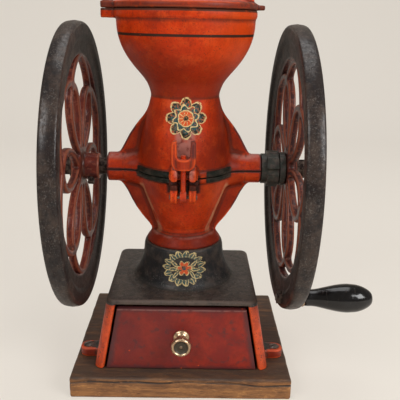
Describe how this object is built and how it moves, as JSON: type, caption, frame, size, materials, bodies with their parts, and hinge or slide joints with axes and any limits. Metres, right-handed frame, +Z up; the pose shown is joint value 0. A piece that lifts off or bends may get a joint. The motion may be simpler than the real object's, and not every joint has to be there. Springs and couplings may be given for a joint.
{
  "type": "coffee grinder mill",
  "caption": "Two-wheel hand coffee mill: flared hopper with a swinging cover, split grinding case on a box base with a drawer, crank handle, wooden board.",
  "frame": {"origin": "centre of the wooden board's underside", "axes": "+Z up; -Y towards the drawer's front; +X towards the wheel with the handle"},
  "size_m": [0.302, 0.273, 0.3762],
  "materials": {
    "board": "worn",
    "black_iron": "worn satin black paint",
    "red_iron": "worn satin red paint",
    "maroon_iron": "worn dark red paint",
    "drawer_red": "worn dark red paint",
    "tray_wood": "bare",
    "steel": "dull",
    "brass": "tarnished",
    "burr_iron": "bare",
    "grip_wood": "gloss black lacquer"
  },
  "bodies": {
    "base": {"base_board": "board", "base_casting": "black_iron", "base_screws": "steel", "foot_screws": "steel", "lower_casing": "red_iron", "hinge_pin": "steel", "clamp_pin": "steel", "fixed_burr": "burr_iron", "burr_screws": "steel"},
    "drawer": {"drawer_front": "drawer_red", "drawer_tray": "tray_wood", "tray_screws": "steel", "drawer_knob": "brass", "knob_screw": "steel"},
    "hopper": {"upper_casing": "red_iron", "eye_bolt": "red_iron", "pivot_screw": "steel"},
    "clamp_nut": {"wing_nut": "red_iron"},
    "cover": {"hopper_cover": "red_iron"},
    "shaft": {"main_shaft": "steel", "left_wheel": "maroon_iron", "right_wheel": "maroon_iron", "hub_set_screws": "steel", "end_washers": "steel", "end_nuts": "steel", "lock_ring": "black_iron", "turning_burr": "burr_iron", "burr_key": "steel", "feed_screw": "burr_iron", "handle_bolt": "steel", "handle_nut": "steel", "handle_ferrule": "brass"},
    "adjuster": {"adjusting_nut": "black_iron"},
    "grip": {"handle_grip": "grip_wood"}
  },
  "joints": [
    {"name": "shaft_turn", "type": "hinge", "parent": "base", "child": "shaft", "pos_m": [0, 0, 0.201], "axis": [1, 0, 0], "continuous": true},
    {"name": "grip_turn", "type": "hinge", "parent": "shaft", "child": "grip", "pos_m": [0.116, -0.0548, 0.08865], "axis": [1, 0, 0], "continuous": true},
    {"name": "adjuster_turn", "type": "hinge", "parent": "shaft", "child": "adjuster", "pos_m": [0.083, 0, 0.201], "axis": [1, 0, 0], "continuous": true},
    {"name": "drawer_slide", "type": "slide", "parent": "base", "child": "drawer", "axis": [0, -1, 0], "range_m": [0, 0.095]},
    {"name": "hopper_tilt", "type": "hinge", "parent": "base", "child": "hopper", "pos_m": [0, 0.055, 0.201], "axis": [-1, 0, 0], "range_deg": [0, 95]},
    {"name": "cover_swing", "type": "hinge", "parent": "hopper", "child": "cover", "pos_m": [-0.071, 0, 0.3487], "axis": [0, 0, 1], "range_deg": [0, 120]},
    {"name": "clamp_nut_turn", "type": "hinge", "parent": "hopper", "child": "clamp_nut", "pos_m": [0, -0.057, 0.215], "axis": [0, 0, 1], "continuous": true}
  ]
}
